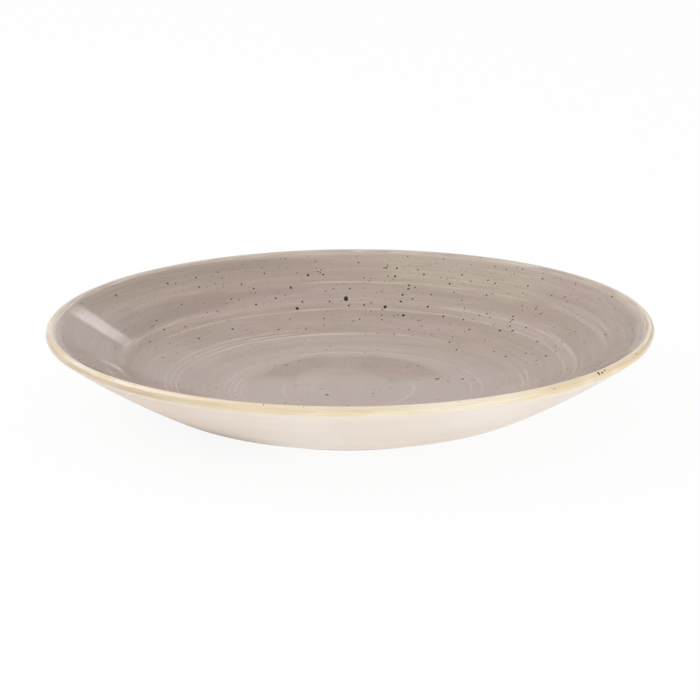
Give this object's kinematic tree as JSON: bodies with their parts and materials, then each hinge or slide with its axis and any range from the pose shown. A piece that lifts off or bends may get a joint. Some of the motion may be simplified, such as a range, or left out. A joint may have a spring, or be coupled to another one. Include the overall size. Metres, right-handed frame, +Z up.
{
  "type": "deep coupe plate",
  "caption": "Round rimless deep plate of glazed stoneware on a foot ring, with a brushed grey well, a honey-coloured lip and a cream outside, for serving food.",
  "frame": {"origin": "centre of the foot ring, on the plane that it stands on", "axes": "+Z up along the plate's axis of revolution; the plate looks the same from every side, and the picture looks along +Y"},
  "size_m": [0.28, 0.28, 0.0405],
  "materials": {
    "bare_clay": "matt, fine grained, unglazed",
    "grey_glaze": "gloss, brushed in rings, with iron specks",
    "honey_glaze": "gloss, uneven, darker where it pools",
    "cream_glaze": "gloss, even"
  },
  "bodies": {
    "root": {"clay_body": "bare_clay", "interior_glaze": "grey_glaze", "rim_glaze": "honey_glaze", "exterior_glaze": "cream_glaze", "underside_glaze": "cream_glaze"}
  },
  "joints": []
}
